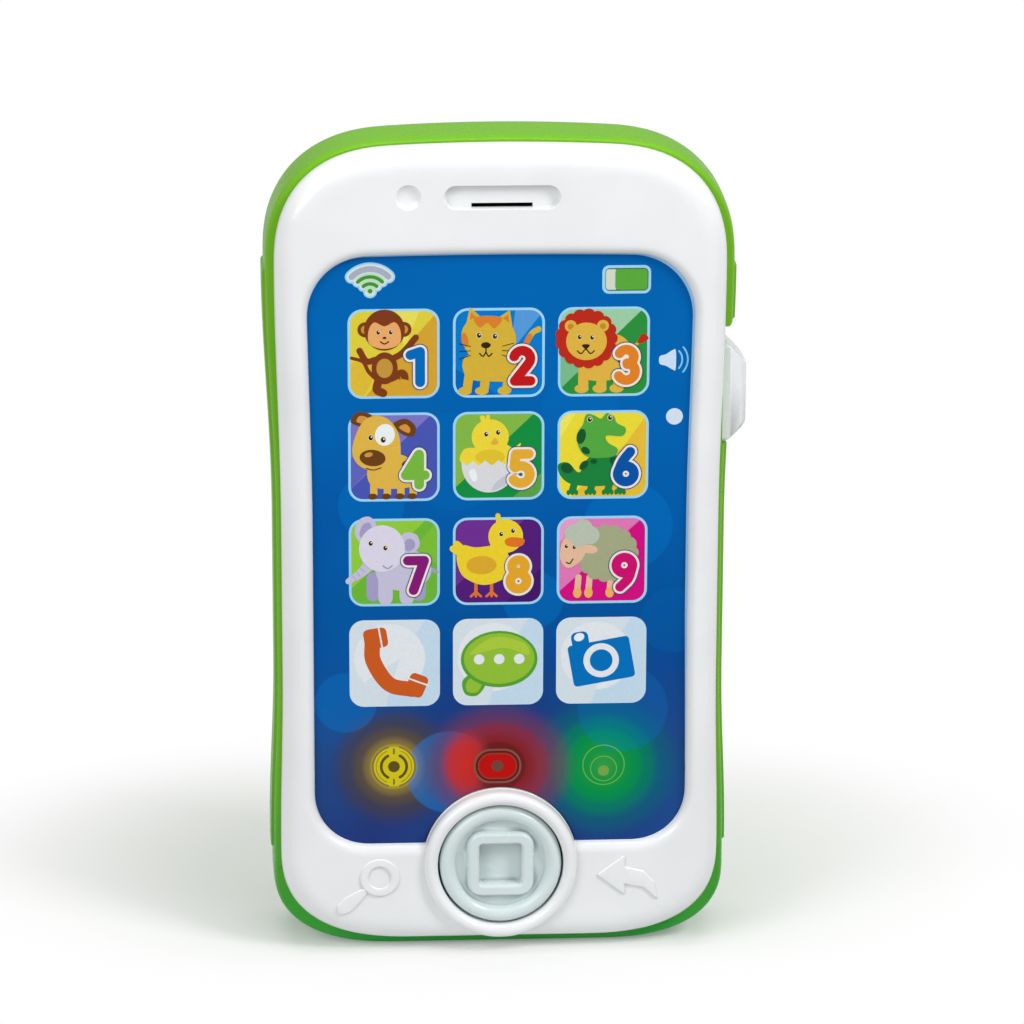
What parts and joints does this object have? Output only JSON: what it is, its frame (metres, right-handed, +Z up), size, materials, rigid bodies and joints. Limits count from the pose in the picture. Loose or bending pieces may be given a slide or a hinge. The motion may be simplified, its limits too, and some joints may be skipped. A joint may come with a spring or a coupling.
{
  "type": "toy cell phone",
  "caption": "Upright toddler's toy phone: green and white casing, printed membrane keypad screen, sprung home button, side volume slider, indicator lights, speaker and cell bay.",
  "frame": {"origin": "centre of the flat bottom face that the phone stands on", "axes": "+X to the right of a viewer facing the screen, the screen faces -Y, +Z up"},
  "size_m": [0.0861, 0.0279, 0.15],
  "materials": {
    "cover_white": "glossy moulded ABS",
    "shell_green": "glossy moulded ABS",
    "screen_print": "glossy printed overlay film",
    "spacer_film": "adhesive spacer film",
    "circuit_film": "polyester film with printed tracks",
    "inner_plastic": "satin moulded ABS",
    "button_grey": "glossy moulded ABS",
    "dome_rubber": "moulded silicone",
    "knob_plastic": "semi-gloss moulded ABS",
    "steel": "pressed plated steel",
    "black_plastic": "satin",
    "board_green": "solder-masked laminate",
    "connector_plastic": "satin nylon",
    "capacitor_sleeve": "shrink sleeve",
    "lens_yellow": "clear tinted epoxy",
    "lens_red": "clear tinted epoxy",
    "lens_green": "clear tinted epoxy",
    "magnet": "plated ferrite",
    "cone_paper": "pressed film cone",
    "screw_steel": "zinc plated",
    "cell_can": "satin sleeve, no lettering",
    "contact_nickel": "nickel plated spring steel",
    "wire_red": "PVC insulation",
    "wire_black": "PVC insulation",
    "wire_grey": "PVC insulation"
  },
  "bodies": {
    "casing": {"front_cover": "cover_white", "rear_cover": "shell_green", "screen_film": "screen_print", "key_spacer": "spacer_film", "keypad_circuit": "circuit_film", "screen_plate": "inner_plastic", "home_dome": "dome_rubber", "slide_switch_body": "steel", "switch_board": "board_green", "main_board": "board_green", "keypad_connector": "connector_plastic", "processor_blob": "black_plastic", "capacitors": "capacitor_sleeve", "resistors": "black_plastic", "crystal": "steel", "led_yellow": "lens_yellow", "led_red": "lens_red", "led_green": "lens_green", "light_baffle": "black_plastic", "speaker_basket": "steel", "speaker_magnet": "magnet", "speaker_cone": "cone_paper", "speaker_clamp": "inner_plastic", "speaker_screws": "screw_steel", "battery_1": "cell_can", "battery_2": "cell_can", "battery_3": "cell_can", "battery_springs": "contact_nickel", "battery_plates": "contact_nickel", "housing_screws": "screw_steel", "board_screws": "screw_steel", "battery_wires": "wire_red", "speaker_wires": "wire_black", "switch_wires": "wire_grey"},
    "home_key": {"home_button": "button_grey"},
    "volume_slider": {"slider_knob": "knob_plastic", "slide_switch_lever": "black_plastic"},
    "cell_door": {"battery_door": "shell_green", "door_screws": "screw_steel"}
  },
  "joints": [
    {"name": "home_button_press", "type": "slide", "parent": "casing", "child": "home_key", "axis": [0, 1, 0], "range_m": [0, 0.0015], "stiffness_N_per_m": 400, "deforming": ["home_dome"]},
    {"name": "volume_slide", "type": "slide", "parent": "casing", "child": "volume_slider", "axis": [0, 0, 1], "range_m": [0, 0.002]},
    {"name": "battery_door_lift", "type": "slide", "parent": "casing", "child": "cell_door", "axis": [0, 1, 0], "range_m": [0, 0.015]}
  ]
}
